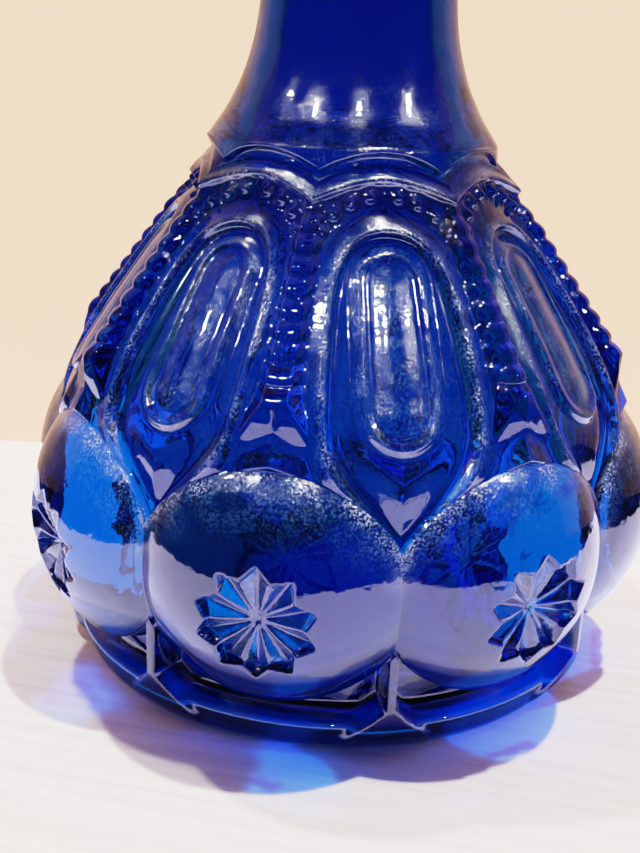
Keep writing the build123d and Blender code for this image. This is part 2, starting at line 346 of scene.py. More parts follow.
def web_over(angle, r, z):
    """Adds the upright web under a seam, with its foot spreading onto the rim."""
    aside = r * np.sin(HALF_SECTOR - angle)
    spread = np.clip((WEB_HEEL - z) / (WEB_HEEL - WEB_TOE), 0, 1)
    half = WEB_HALF + (WEB_TOE_HALF - WEB_HALF) * spread
    side = 0.4 + 1.5 * spread
    reach = np.interp(z, [0.0, 0.9, WEB_TOE, WEB_HEEL], [47.0, 48.4, 50.0, WEB_RADIUS])
    cover = smooth(side, -0.3, aside - half) * smooth(0.0, 1.4, z)
    return r + np.maximum(reach - r, 0) * cover


# ---- grid of one half sector --------------------------------------------
HALF_ARC = 19.635                    # from the middle of a boss to the seam, 50 mm from the axis


def half_angles():
    """Angles from the middle of a boss to the seam, closer over the star and at the seam."""
    spans = [(0.0, 10.4, 36), (10.4, 17.4, 16), (17.4, HALF_ARC, 12)]
    places = [np.linspace(a, b, n, endpoint=False) for a, b, n in spans]
    arc = np.concatenate(places + [[HALF_ARC]])
    return arc / HALF_ARC * HALF_SECTOR


def neck_radius(z):
    line = curve_through([
        (92.6, COLLAR_RADIUS), (94.2, 24.2), (96.5, 22.6), (99.0, 21.2), (102.2, 19.65), (106.0, 18.35),
        (110.0, 17.35), (115.0, 16.7), (122.0, 16.2), (130.0, 16.0), (145.0, 16.0), (158.0, 16.1),
        (168.0, 16.9), (176.0, 18.3), (182.0, 20.6), (LIP_LOW, LIP_LOW_RADIUS)], 8)
    return np.interp(z, line[:, 0], line[:, 1])


def outer_rows():
    """All rows of one half sector's outer surface, each as arrays of radius, height and frosting."""
    angle = half_angles()
    one = np.ones(angle.shape)
    rows = foot_rows(angle)
    low = boss_edge(angle, False)
    high = boss_edge(angle, True)
    count = 112
    for i in range(count + 1):
        z = low + (high - low) * i / count
        r, frost = boss_radius(angle, z)
        rows.append((r, z, frost))
    lift = 0.16
    ridge_z = (RIDGE_END - 0.25) * one
    brow_z = BROW_Z * one
    across = COLLAR_RADIUS * np.sin(HALF_SECTOR - angle)
    edge_z = COLLAR_EDGE - COLLAR_ARC + np.sqrt(COLLAR_ARC**2 - across**2)
    stages = [(high + lift, ridge_z, 44), (ridge_z, brow_z, 78), (brow_z, edge_z - 1.1, 32)]
    edge_r = ball_radius(angle, high)
    for start, end, count in stages:
        for i in range(count):
            z = start + (end - start) * i / count
            tucked = edge_r - 0.35 + 0.9 * (z - high)  # close above a boss the surface starts behind its edge
            r, frost = upper_radius(angle, z)
            rows.append((np.minimum(r, tucked), z, frost))
    turned_edge = [(24.55, -0.95), (24.5, -0.55), (24.75, -0.25), (25.15, -0.05), (25.45, 0.2)]
    for r, dz in turned_edge + [(COLLAR_OUT, 0.55)]:
        rows.append((r * one, edge_z + dz, 0.3 * one))
    for i in range(1, 7):
        share = i / 6
        z = edge_z + 0.55 + (COLLAR_TOP - edge_z - 0.55) * share
        rows.append(((1 - share) * COLLAR_OUT + share * neck_radius(z), z, 0.3 * one))
    for z in (93.4, 94.0, 94.8, 95.6):
        rows.append((float(neck_radius(z)) * one, z * one, 0.25 * one))
    return angle, rows


def full_ring(values):
    """Mirrors a half-sector row and repeats it around the bottle."""
    sector = np.concatenate([values[:0:-1], values[:-1]])
    return np.tile(sector, SECTORS)


def ring_angles(angle):
    sector = np.concatenate([-angle[:0:-1], angle[:-1]])
    turns = [sector + 2 * HALF_SECTOR * k for k in range(SECTORS)]
    return np.concatenate(turns) + FRONT


# ---- mesh building ------------------------------------------------------
def mesh_object(name, verts, faces, frost=None):
    """A smooth-shaded mesh object from points in millimetres, with how frosted each point is."""
    mesh = bpy.data.meshes.new(name)
    mesh.from_pydata((np.asarray(verts) * MM).tolist(), [], faces)
    if frost is not None:
        layer = mesh.attributes.new("frost", "FLOAT", "POINT")
        layer.data.foreach_set("value", np.asarray(frost, np.float32))
    mesh.validate()
    mesh.shade_smooth()
    obj = bpy.data.objects.new(name, mesh)
    bpy.context.scene.collection.objects.link(obj)
    return obj


class Skin:
    """Collects rings of points around the axis and joins each to the last."""

    def __init__(self):
        self.verts = []
        self.frost = []
        self.faces = []
        self.last = None
        self.count = 0

    def ring(self, angles, radius, height, frost=0.0):
        """Adds a ring of points and joins it to the last one."""
        radius = np.broadcast_to(radius, angles.shape)
        height = np.broadcast_to(height, angles.shape)
        points = np.column_stack([radius * np.cos(angles), radius * np.sin(angles), height])
        start = self.count
        self.verts.append(points)
        self.frost.append(np.broadcast_to(frost, angles.shape))
        self.count += len(points)
        new = np.arange(start, start + len(points))
        if self.last is not None:
            self.join(self.last, new)
        self.last = new

    def join(self, old, new):
        """Faces between two rings, of which the new one may have half as many points."""
        n, m = len(old), len(new)
        if n == m:
            nxt = np.roll(np.arange(n), -1)
            quads = np.column_stack([old, old[nxt], new[nxt], new])
            self.faces.extend(quads.tolist())
            return
        for k in range(m):
            a, b, c = int(old[2 * k]), int(old[2 * k + 1]), int(old[(2 * k + 2) % n])
            d, e = int(new[k]), int(new[(k + 1) % m])
            self.faces += [[a, b, d], [b, e, d], [b, c, e]]

    def grow(self, angles, radius, height):
        """Adds a ring with twice as many points as the last one."""
        old = self.last
        self.last = None
        self.ring(angles, radius, height)
        before = len(self.faces)
        self.join(self.last, old)
        self.faces[before:] = [face[::-1] for face in self.faces[before:]]

    def start(self, angles, radius, height, middle, frost=0.0):
        """Begins the skin with an end: one ring, closed by a point on the axis at a height of its own."""
        self.ring(angles, radius, height, frost)
        self.cap(middle, flip=True)
        self.last = np.arange(len(angles))

    def cap(self, height, flip=False):
        """Closes the last ring with one point on the axis."""
        self.verts.append(np.array([[0.0, 0.0, height]]))
        self.frost.append(np.zeros(1))
        tip = self.count
        self.count += 1
        n = len(self.last)
        for k in range(n):
            face = [int(self.last[k]), int(self.last[(k + 1) % n]), tip]
            self.faces.append(face[::-1] if flip else face)

    def build(self, name):
        return mesh_object(name, np.vstack(self.verts), self.faces, np.concatenate(self.frost))


# Profiles as (radius, height), in the order in which the skin follows them.
LIP = curve_through([
    (LIP_LOW_RADIUS, LIP_LOW), (23.85, 186.6), (24.1, 187.9),
    (23.7, 189.1), (22.6, 189.85), (21.2, LIP_TOP)], 3)
SEAT = [
    (17.5, LIP_TOP), (15.9, 189.95), (15.15, 189.6), (14.86, 188.9),
    (12.72, 160.2), (12.3, 159.4), (THROAT_RADIUS, THROAT_Z)]
CHAMBER = curve_through([
    (THROAT_RADIUS, THROAT_Z), (THROAT_RADIUS, 138), (THROAT_RADIUS, 120), (13.0, 110), (15.2, 101),
    (19.4, 90), (22.6, 82), (29.0, 71), (36.0, 60), (41.6, 49), (44.2, 38), (44.4, 28), (43.6, 15),
    (41.9, 10.4), (37.5, 8.2), (30.0, FLOOR_Z), (12.0, FLOOR_Z)], 6)


def bottle_mesh():
    """The bottle's outside from the middle underneath up to the lip, then the inside down to its floor."""
    angle, rows = outer_rows()
    fine = ring_angles(angle)
    half = fine[::2]
    quarter = fine[::4]
    coarse = fine[::8]
    skin = Skin()
    # underneath: the sunk base, and the inner side of the standing ring
    skin.start(coarse, 10.0, 1.85, FOOT_SINK)
    for r, z in ((24.0, 1.75), (38.0, 1.62)):
        skin.ring(coarse, r, z)
    skin.grow(quarter, 41.0, 1.5)
    for r, z in ((42.2, 0.9), (43.4, 0.25)):
        skin.ring(quarter, r, z)
    skin.grow(half, 44.6, 0.02)
    skin.ring(half, 46.0, 0.0)
    # the ornamented outside, then the plain neck and the lip
    skin.grow(fine, full_ring(rows[0][0]), full_ring(rows[0][1]))
    for r, z, frost in rows[1:]:
        skin.ring(fine, full_ring(r), full_ring(z), full_ring(frost))
    skin.ring(half, neck_radius(96.6), 96.6, 0.3)
    skin.ring(quarter, neck_radius(98.0), 98.0, 0.35)
    spans = [(99.5, 130, 20), (134, 158, 7), (160.5, LIP_LOW, 14)]
    for z in np.concatenate([np.linspace(*span) for span in spans]):
        skin.ring(quarter, neck_radius(z), z, 0.25 * smooth(112.0, 98.0, z))
    for r, z in LIP[1:]:
        skin.ring(quarter, r, z)
    # inside: the seat, whose ground cone is frosted, and the chamber
    for r, z in SEAT:
        skin.ring(quarter, r, z, 0.5 if r < 15 and z > 160 else 0.0)
    for r, z in CHAMBER[1:-1]:
        skin.ring(quarter, r, z)
    skin.ring(coarse, 9.0, FLOOR_Z)
    skin.cap(FLOOR_Z)
    return skin


# ---- camera ---------------------------------------------------------------
def place_camera():
    """Camera about 0.2 m from the axis, a little to the right of the front boss and looking down."""
    yaw, pitch, roll = radians(-1.01), radians(18.89), radians(2.44)
    distance, height = 200.6 * MM, 107.4 * MM
    forward = Vector((sin(yaw) * cos(pitch), cos(yaw) * cos(pitch), -sin(pitch)))
    right = Vector((cos(yaw), -sin(yaw), 0))
    up = right.cross(forward)
    tilted_right = right * cos(roll) + up * sin(roll)
    tilted_up = up * cos(roll) - right * sin(roll)
    data = bpy.data.cameras.new("camera")
    data.lens = 46.68
    data.sensor_width = 36.0
    data.clip_start = 0.005
    obj = bpy.data.objects.new("camera", data)
    bpy.context.scene.collection.objects.link(obj)
    axes = Matrix((tilted_right, tilted_up, -forward)).transposed().to_4x4()
    axes.translation = Vector((0, -distance, height))
    obj.matrix_world = Matrix.Rotation(TURN, 4, "Z") @ axes
    bpy.context.scene.camera = obj


# ---- stopper ----------------------------------------------------------------
STOPPER_LOW = 158.0
SHANK_LOW = 161.0                    # heights and radii that the ground shank's taper passes through
SHANK_LOW_RADIUS = 10.0
SHANK_TOP = 191.5
SHANK_TOP_RADIUS = 12.2
FLANGE_Z = 193.1                     # middle of the flat flange above the shank
FLANGE_RADIUS = 16.5
FLANGE_ROUND = 1.1
WAIST_Z = 197.0
WAIST_RADIUS = 9.6
HEAD_Z = 211.0                       # middle of the knob
KNOB_BALL = 16.6
LOBE_BALL = 9.0                      # size of each lobe's ball, and how far out it sits
LOBE_ORBIT = 11.0
BUTTON_BALL = 5.0                    # the same for the button on top
BUTTON_UP = 15.0
STOPPER_COLUMNS = 24                 # points round each lobe


def ball_reach(along, off, radius):
    """How far out a ball reaches along a direction, with its centre that far along it and that far off it."""
    return along + np.sqrt(np.maximum(radius**2 - off**2, 0)) * (off < radius)


def knob_reach(turn, rise):
    """Distance from the knob's middle to its surface, at an angle from a lobe and an angle above level."""
    lobe_x = LOBE_ORBIT * np.cos(turn) * cos(rise)
    lobe_off = np.sqrt(np.maximum(LOBE_ORBIT**2 - lobe_x**2, 0))
    lobe = ball_reach(lobe_x, lobe_off, LOBE_BALL)
    button_x = BUTTON_UP * sin(rise)
    button_off = BUTTON_UP * abs(cos(rise))
    button = ball_reach(button_x, np.full(turn.shape, button_off), BUTTON_BALL)
    crease = 0.35 * np.cos(turn * 2 * SECTORS) * smooth(0.35, 1.0, rise) * smooth(1.45, 1.15, rise)
    return soft_max(soft_max(KNOB_BALL + crease, lobe, 0.7), button, 0.6)


def stopper_mesh():
    """Ground shank, flat flange and lobed knob, as one closed skin from the bottom up."""
    columns = SECTORS * STOPPER_COLUMNS
    angles = np.arange(columns) * 2 * pi / columns + FRONT
    turn = (np.arange(columns) % STOPPER_COLUMNS) * 2 * pi / columns
    turn = np.minimum(turn, 2 * pi / SECTORS - turn)
    skin = Skin()
    skin.start(angles, 5.0, STOPPER_LOW, STOPPER_LOW, 0.2)
    for r, z in ((8.4, STOPPER_LOW), (8.95, 158.12), (9.4, 158.5), (9.75, 159.0)):
        skin.ring(angles, r, z, 0.8)
    taper = (SHANK_TOP_RADIUS - SHANK_LOW_RADIUS) / (SHANK_TOP - SHANK_LOW)
    for z in np.linspace(159.6, SHANK_TOP - 0.6, 16):
        r = SHANK_LOW_RADIUS + taper * (z - SHANK_LOW)
        skin.ring(angles, r - 0.03, z, 1.0)
    for r, z in ((12.15, 191.4), (12.2, 191.75), (12.6, 191.98), (13.2, 192.0), (16.0, 192.0)):
        skin.ring(angles, r, z, 0.1)
    for i in range(9):
        a = -pi / 2 + pi * i / 8
        skin.ring(angles, FLANGE_RADIUS + FLANGE_ROUND * cos(a), FLANGE_Z + FLANGE_ROUND * sin(a), 0.1)
    waist = curve_through([
        (FLANGE_RADIUS, FLANGE_Z + FLANGE_ROUND), (13.0, 195.0), (10.6, 196.0), (WAIST_RADIUS, WAIST_Z)], 5)
    for r, z in waist[1:]:
        skin.ring(angles, r, z, 0.05)
    start = -np.arctan2(HEAD_Z - WAIST_Z, WAIST_RADIUS)
    for rise in np.linspace(start, pi / 2, 74)[1:-1]:
        reach = knob_reach(turn, rise)
        skin.ring(angles, reach * cos(rise), HEAD_Z + reach * sin(rise), 0.05)
    skin.cap(HEAD_Z + BUTTON_UP + BUTTON_BALL)
    return skin


# ---- cork sleeve --------------------------------------------------------------
CORK_COLUMNS = 288
CORK_WALL = 2.6
CORK_LENGTH = 30.0
CORK_TAPER = 2.2                     # how much its radius grows over that length
CORK_SINK = 0.35                     # deepest pore


def cork_pits(points):
    """Depth of the pores and chipped places at each point of the cork, in millimetres."""
    depth = np.zeros(len(points))
    for i, p in enumerate(points):
        place = Vector(p.tolist())
        pore = noise.noise(place * 0.9) + 0.5 * noise.noise(place * 2.1)
        grain = noise.noise(place * 3.7)
        depth[i] = max(0.0, pore - 0.28) * 1.1 + max(0.0, grain) * 0.12
    return np.minimum(depth, CORK_SINK)


def cork_mesh():
    """Tapered tube with worn edges, its outside and top pitted inwards."""
    angles = np.arange(CORK_COLUMNS) * 2 * pi / CORK_COLUMNS
    low_z, high_z = cork_low.z, cork_high.z
    high_r = cork_high.x
    slope = CORK_TAPER / CORK_LENGTH
    low_r = high_r - slope * (high_z - low_z)
    skin = Skin()
    outline = [(low_r - CORK_WALL + 0.03, low_z + 0.1), (low_r - 1.4, low_z)]
    outline += [(low_r - 0.6, low_z), (low_r - 0.15, low_z + 0.5)]
    for z in np.linspace(low_z + 1.0, high_z - 0.7, 56):
        outline.append((low_r + slope * (z - low_z), z))
    outline += [(high_r - 0.08, high_z - 0.3), (high_r - 0.35, high_z - 0.05), (high_r - 0.7, high_z)]
    outline += [(high_r - r, high_z) for r in (1.0, 1.3, 1.6, 1.9, 2.2)]
    outline += [(high_r - CORK_WALL + 0.1, high_z - 0.1), (high_r - CORK_WALL + 0.02, high_z - 0.5)]
    for z in np.linspace(high_z - 2.0, low_z + 2.0, 8):
        outline.append((low_r - CORK_WALL + 0.02 + slope * (z - low_z), z))
    for r, z in outline:
        skin.ring(angles, r, z)
    skin.join(skin.last, np.arange(CORK_COLUMNS))
    verts = np.vstack(skin.verts)
    radius = np.hypot(verts[:, 0], verts[:, 1])
    depth = cork_pits(verts)
    outside = smooth(high_r - CORK_WALL - 0.1, high_r - 2.2, radius)
    on_top = (verts[:, 2] > high_z - 0.02) * 1.0
    side = depth * outside * (1 - on_top)
    verts[:, 0] *= 1 - side / radius
    verts[:, 1] *= 1 - side / radius
    verts[:, 2] -= depth * on_top
    return mesh_object("cork_sleeve_granules", verts, skin.faces)


# ---- materials ----------------------------------------------------------------
class Look:
    """The nodes of a material or a world, with short calls that add one and join it to others."""

    def __init__(self, owner, end="ShaderNodeOutputMaterial", place="Object"):
        self.owner = owner
        owner.use_nodes = True
        self.tree = owner.node_tree
        self.tree.nodes.clear()
        self.end = self.add(end)
        self.place = self.add("ShaderNodeTexCoord").outputs[place]

    def add(self, kind, inputs=None, **settings):
        node = self.tree.nodes.new(kind)
        for key, value in settings.items():
            setattr(node, key, value)
        for key, value in (inputs or {}).items():
            self.put(node.inputs[key], value)
        return node

    def put(self, socket, value):
        if isinstance(value, bpy.types.NodeSocket):
            self.tree.links.new(value, socket)
        else:
            socket.default_value = value

    def math(self, operation, a, b=0.0):
        return self.add("ShaderNodeMath", {0: a, 1: b}, operation=operation).outputs[0]

    def noise(self, per_mm, detail=2.0, stretch=(1, 1, 1)):
        """Noise between 0 and 1, with so many features to the millimetre, multiplied along each axis."""
        spread = self.add("ShaderNodeMapping", {"Vector": self.place, "Scale": stretch}).outputs[0]
        texture = self.add("ShaderNodeTexNoise", {"Vector": spread, "Scale": per_mm / MM, "Detail": detail})
        return texture.outputs[0]

    def ramp(self, factor, stops):
        """Colour by a list of places between 0 and 1 and their colours."""
        node = self.add("ShaderNodeValToRGB", {"Fac": factor})
        elements = node.color_ramp.elements
        while len(elements) < len(stops):
            elements.new(0.5)
        for element, (place, colour) in zip(elements, stops):
            element.position = place
            element.color = (*colour, 1.0)
        return node.outputs[0]

    def bump(self, height_mm):
        """Normal of a surface that stands up by a number of millimetres."""
        return self.add("ShaderNodeBump", {"Height": height_mm, "Distance": MM, "Strength": 1.0}).outputs[0]

    def ray(self, kind):
        """What is known about the ray that meets the surface."""
        return self.add("ShaderNodeLightPath").outputs[kind]

    def split(self, vector, axis):
        return self.add("ShaderNodeSeparateXYZ", {0: vector}).outputs[axis]

    def length(self, vector):
        return self.add("ShaderNodeVectorMath", {0: vector}, operation="LENGTH").outputs["Value"]

    def fade(self, value, start, end, first, last):
        """Changes evenly from first to last as a value goes from start to end."""
        return self.add("ShaderNodeMapRange", {
            "Value": value, "From Min": start, "From Max": end, "To Min": first, "To Max": last}).outputs[0]

    def blend(self, share, a, b, kind="MIX"):
        """Mixes two colours."""
        return self.add("ShaderNodeMix", {0: share, 6: a, 7: b}, data_type="RGBA", blend_type=kind).outputs[2]

    def either(self, share, a, b):
        """One shader or the other, by a share of the second."""
        return self.add("ShaderNodeMixShader", {0: share, 1: a, 2: b}).outputs[0]

    def both(self, a, b):
        """Two shaders together."""
        return self.add("ShaderNodeAddShader", {0: a, 1: b}).outputs[0]


def new_look(name):
    return Look(bpy.data.materials.new(name))


def grey(level):
    return (level, level, level)


GLASS_TINT_AND_PAINTED_LIGHT = [                      # height, and what the glass lets through there; some bands are painted shade or painted highlights
    (0.0, (0.62, 0.63, 0.70)),       # painted highlight: a pale line along the standing edge
    (0.5, (0.45, 0.46, 0.56)),
    (0.95, (0.003, 0.02, 0.10)),     # painted shade: the foot darkened to near black, beyond what its thick glass takes
    (4.6, (0.003, 0.02, 0.10)),
    (4.8, (0.010, 0.26, 0.95)),      # painted highlight: a bright blue line of light along the rim
    (5.2, (0.010, 0.26, 0.95)),
    # painted shade: a darker band over the cove above the rim
    (5.5, (0.006, 0.05, 0.26)),
    (11.0, (0.006, 0.06, 0.30)),
    (17.0, (0.012, 0.30, 0.95)),     # bosses and panels
    (75.0, (0.009, 0.26, 0.93)),
    (80.0, (0.005, 0.13, 0.56)),     # painted shade: a darker band over the beads and cord
    (87.5, (0.005, 0.13, 0.56)),
    (89.0, (0.008, 0.22, 0.90)),
    (97.0, (0.005, 0.13, 0.80)),
]
GLASS_CLEAR = [                      # height, and how much of the light passes there without scattering
    (0.0, grey(0.15)),               # painted highlight: the standing edge mostly scatters, so its pale line shows
    (0.5, grey(0.35)),
    (0.95, grey(1.0)),
    (4.6, grey(1.0)),
    (4.8, grey(0.5)),                # painted highlight: partly scattering, so the bright blue line along the rim shows
    (5.2, grey(0.5)),
    (5.5, grey(1.0)),
]
GRAIN_AND_SPARKLE_TONE = (0.66, 0.64, 0.82, 1)   # a frosted grain, its pale tone partly a painted sparkle highlight
GLASS_DEEP = (0.82, 0.970, 0.994)    # what one millimetre of the glass lets through, beyond the tint
SHADOW_TINT = (0.08, 0.09, 0.21)     # what a lamp's light keeps at each face it crosses
SHADOW_PATCH = (0.40, 0.57, 0.90)    # the same where the light is gathered on the board
PATCH_REACH = 66.0                   # how far from the axis such light lands


def by_height(look, bands):
    """A value that changes with height, from a list of heights and values."""
    top = bands[-1][0]
    height = look.split(look.place, "Z")
    return look.ramp(look.math("DIVIDE", height, top * MM), [(z / top, value) for z, value in bands])


def glass_tint(look, grain_and_sparkle):
    """Cobalt blue with faint clouds; by height it carries painted shade (a near-black foot and cove, a darker
    band over beads and cord) and painted highlights (a pale standing edge, a bright blue line along the rim);
    pale where frosted grains scatter the light, which also paints in a sparkle highlight.
    """
    cloud = look.ramp(look.noise(0.05, 3.0, (1, 1, 0.35)), [(0.3, (0.80, 0.84, 0.90)), (0.7, grey(1.0))])
    deep = look.blend(1.0, by_height(look, GLASS_TINT_AND_PAINTED_LIGHT), cloud, "MULTIPLY")
    return look.blend(grain_and_sparkle, deep, GRAIN_AND_SPARKLE_TONE)


def shadow_cast(look):
    """What a lamp's light keeps at each face, by where on the board it will land."""
    back = look.add("ShaderNodeNewGeometry").outputs["Incoming"]
    fall = look.math("MULTIPLY", look.split(back, "Z"), -1.0)
    steps = look.math("DIVIDE", look.split(look.place, "Z"), look.math("MAXIMUM", fall, 0.05))
    path = look.add("ShaderNodeVectorMath", {0: back, "Scale": steps}, operation="SCALE").outputs[0]
    landing = look.add("ShaderNodeVectorMath", {0: look.place, 1: path}, operation="ADD").outputs[0]
    patches = {"Vector": landing, "Scale": 0.035 / MM, "Detail": 1.5}
    gathered = look.add("ShaderNodeTexNoise", patches).outputs[0]
    too_far = look.fade(look.length(landing), (PATCH_REACH - 3) * MM, (PATCH_REACH + 3) * MM, 0.0, 0.25)
    return look.ramp(look.math("SUBTRACT", gathered, too_far), [(0.47, SHADOW_TINT), (0.52, SHADOW_PATCH)])


def glass_look(name):
    """Deep cobalt pressed glass, fire-polished, with the mould's grain where it is frosted."""
    look = new_look(name)
    frost = look.add("ShaderNodeAttribute", attribute_name="frost").outputs["Fac"]
    spread = look.ramp(look.noise(0.25, 3.0), [(0.36, grey(0.25)), (0.60, grey(1.0))])
    patch = look.math("MULTIPLY", frost, spread)
    rolling = look.math("MULTIPLY", look.noise(0.10, 1.0), 0.30)
    rolling = look.math("ADD", rolling, look.math("MULTIPLY", look.noise(0.35, 2.0), 0.05))
    grain = look.math("MULTIPLY", look.noise(1.9, 4.0), look.math("MULTIPLY", patch, 0.20))
    # pale frosted grains: the mould's frost, partly a painted sparkle highlight that shows pale under any
    # lamp
    grains = look.ramp(look.noise(2.6, 2.0), [(0.47, grey(0.0)), (0.60, grey(1.0))])
    grain_and_sparkle = look.math("MULTIPLY", look.math("MULTIPLY", patch, grains), 0.62)
    passing = look.math("MULTIPLY", by_height(look, GLASS_CLEAR), look.math("SUBTRACT", 1.0, grain_and_sparkle))
    glass = look.add("ShaderNodeBsdfPrincipled", {
        "Base Color": glass_tint(look, grain_and_sparkle), "IOR": 1.56, "Transmission Weight": passing,
        "Roughness": look.math("ADD", look.math("MULTIPLY", patch, 0.05), 0.012),
        "Normal": look.bump(look.math("ADD", rolling, look.math("MULTIPLY", grain, 0.12))),
        "Coat Weight": patch, "Coat Roughness": 0.16, "Coat IOR": 1.9,
        "Coat Normal": look.bump(look.math("ADD", rolling, grain))})
    clear = look.add("ShaderNodeBsdfTransparent", {"Color": shadow_cast(look)})
    shown = look.either(look.ray("Is Shadow Ray"), glass.outputs[0], clear.outputs[0])
    taken = [-np.log(c) / MM for c in GLASS_DEEP]
    density = max(taken) * 1.02
    depth = look.add("ShaderNodeVolumeAbsorption", {
        "Color": (*[float(1 - t / density) for t in taken], 1), "Density": float(density)})
    look.put(look.end.inputs["Surface"], shown)
    look.put(look.end.inputs["Volume"], depth.outputs[0])
    return look.owner


GRANULES = 0.55                      # cork granules to the millimetre


def cork_look():
    """Warm granular cork: pale and brown granules, dark pores, and a dry matt surface."""
    look = new_look("cork")
    sizes = {"Vector": look.place, "Scale": GRANULES / MM}
    cells = look.add("ShaderNodeTexVoronoi", sizes)
    granule = look.ramp(cells.outputs["Color"], [(0.25, (0.36, 0.19, 0.085)), (0.75, (0.60, 0.37, 0.19))])
    edge = look.add("ShaderNodeTexVoronoi", sizes, feature="DISTANCE_TO_EDGE")
    seam = look.ramp(edge.outputs["Distance"], [(0.0, grey(0.45)), (0.09, grey(1.0))])
    streak = look.noise(0.8, 4.0, (1, 1, 0.35))
    pores = look.ramp(streak, [(0.36, (0.16, 0.10, 0.06)), (0.46, grey(1.0))])
    tone = look.blend(0.8, look.blend(1.0, granule, seam, "MULTIPLY"), pores, "MULTIPLY")
    fine = look.noise(4.0, 3.0)
    height = look.math("ADD", look.math("MULTIPLY", streak, 0.30), look.math("MULTIPLY", fine, 0.08))
    body = look.add("ShaderNodeBsdfPrincipled", {
        "Base Color": tone, "Roughness": look.math("ADD", look.math("MULTIPLY", fine, 0.2), 0.72),
        "Normal": look.bump(height)})
    look.put(look.end.inputs["Surface"], body.outputs[0])
    return look.owner


# ---- stage ----------------------------------------------------------------------
TURN = radians(10.97)                # the camera stands this far round from the front boss
WALL_AWAY = 88.0                     # backdrop behind the axis
FLOOR_TONE = (0.85, 0.775, 0.735)
WALL_LIGHT = (2.6, 1.42, 0.78)       # brightness of the warm backdrop
WALL_SHARE = 0.85                    # how much of that the backdrop itself gives
BOARD_REACH = 187.0                  # about as far as the glass mirrors the lit board
BOARD_RAGGED = 110.0                 # how much that edge may wander in all
DIM = (0.05, 0.055, 0.075, 1)        # the room beyond
LAMP_AIM = 0.06                      # height in metres that the lamps point at


def floor_look():
    """Pale whitewashed board with fine level streaks; the glass mirrors only the lit part near it, as a
    painted lilac glow, and a painted dim glow beyond.
    """
    look = new_look("floor_board")
    grain = {"Vector": look.place, "Rotation": (0, 0, -TURN), "Scale": (0.35, 8.0, 1.0)}
    turned = look.add("ShaderNodeMapping", grain).outputs[0]
    streak = look.add("ShaderNodeTexNoise", {"Vector": turned, "Scale": 0.06 / MM, "Detail": 5.0}).outputs[0]
    shades = ((0.36, 0.90), (0.50, 1.0), (0.66, 1.06))
    tone = look.ramp(streak, [(place, tuple(shade * c for c in FLOOR_TONE)) for place, shade in shades])
    board = look.add("ShaderNodeBsdfPrincipled", {
        "Base Color": tone, "Roughness": 0.55, "Specular IOR Level": 0.2})

    # painted reflection: the board glows lilac only for rays mirrored by the outside of the glass, beyond the
    # bottle's own shadow
    mirrored = look.ray("Is Glossy Ray")
    outside = look.math("LESS_THAN", look.ray("Transmission Depth"), 0.5)
    away = look.length(look.place)
    sheen = look.fade(away, 53 * MM, 62 * MM, 0.0, 3.8)
    by_outside = look.math("MULTIPLY", mirrored, outside)
    lilac_painted_reflection = look.add("ShaderNodeEmission", {
        "Color": (0.52, 0.49, 1.05, 1), "Strength": look.math("MULTIPLY", by_outside, sheen)})

    # the board brightens into the distance, as the camera sees it
    sweep = look.fade(away, 300 * MM, 1100 * MM, 0.0, 2.2)
    far = look.add("ShaderNodeEmission", {
        "Color": (1.0, 0.95, 0.92, 1), "Strength": look.math("MULTIPLY", look.ray("Is Camera Ray"), sweep)})
    lit = look.both(look.both(board.outputs[0], lilac_painted_reflection.outputs[0]), far.outputs[0])

    # painted dark reflection: beyond a ragged edge the board shows mirrored rays a dim glow for the room, and
    # mixes it in for rays turned back inside the glass
    edge = (BOARD_REACH + BOARD_RAGGED / 2) * MM
    ragged = look.math("ADD", away, look.math("MULTIPLY", look.noise(0.03, 3.0), BOARD_RAGGED * MM))
    beyond = look.fade(ragged, edge, edge + 8 * MM, 0.0, 1.0)
    turned_back = look.math("MULTIPLY", 0.12, look.math("MINIMUM", look.ray("Glossy Depth"), 1.0))
    within = look.math("MULTIPLY", turned_back, look.math("SUBTRACT", 1.0, outside))
    share = look.math("MAXIMUM", look.math("MULTIPLY", beyond, mirrored), within)
    dim = look.add("ShaderNodeEmission", {"Color": DIM})
    look.put(look.end.inputs["Surface"], look.either(share, lit, dim.outputs[0]))
    return look.owner


def wall_look():
    """Warm plain backdrop, seen from the front only, and mirrored by the glass only where it is nearest."""
    look = new_look("backdrop")
    tone = look.ramp(look.noise(0.006, 2.0), [(0.3, grey(0.93)), (0.7, grey(1.0))])
    matt = look.add("ShaderNodeBsdfDiffuse", {"Color": (0.34, 0.25, 0.19, 1)})
    near = look.fade(look.length(look.place), 120 * MM, 260 * MM, 0.45, 0.04)
    turned_back = look.math("MULTIPLY", 0.7, look.math("MINIMUM", look.ray("Glossy Depth"), 1.0))
    straight = look.math("SUBTRACT", 1.0, turned_back)
    mirrored = look.ray("Is Glossy Ray")
    seen = look.math("MULTIPLY", straight, look.math("SUBTRACT", 1.0, mirrored))
    kept = look.math("ADD", look.math("MULTIPLY", mirrored, near), seen)
    brightest = WALL_LIGHT[0]
    glow = look.add("ShaderNodeEmission", {
        "Color": (*[c / brightest for c in WALL_LIGHT], 1),
        "Strength": look.math("MULTIPLY", look.math("MULTIPLY", tone, kept), WALL_SHARE * brightest)})
    behind = look.add("ShaderNodeBsdfTransparent")
    facing = look.add("ShaderNodeNewGeometry").outputs["Backfacing"]
    shown = look.either(facing, look.both(matt.outputs[0], glow.outputs[0]), behind.outputs[0])
    look.put(look.end.inputs["Surface"], shown)
    return look.owner


def flat_stage(name, corners, material):
    obj = mesh_object(name, corners, [(0, 1, 2, 3)])
    obj.data.materials.append(material)
    return obj


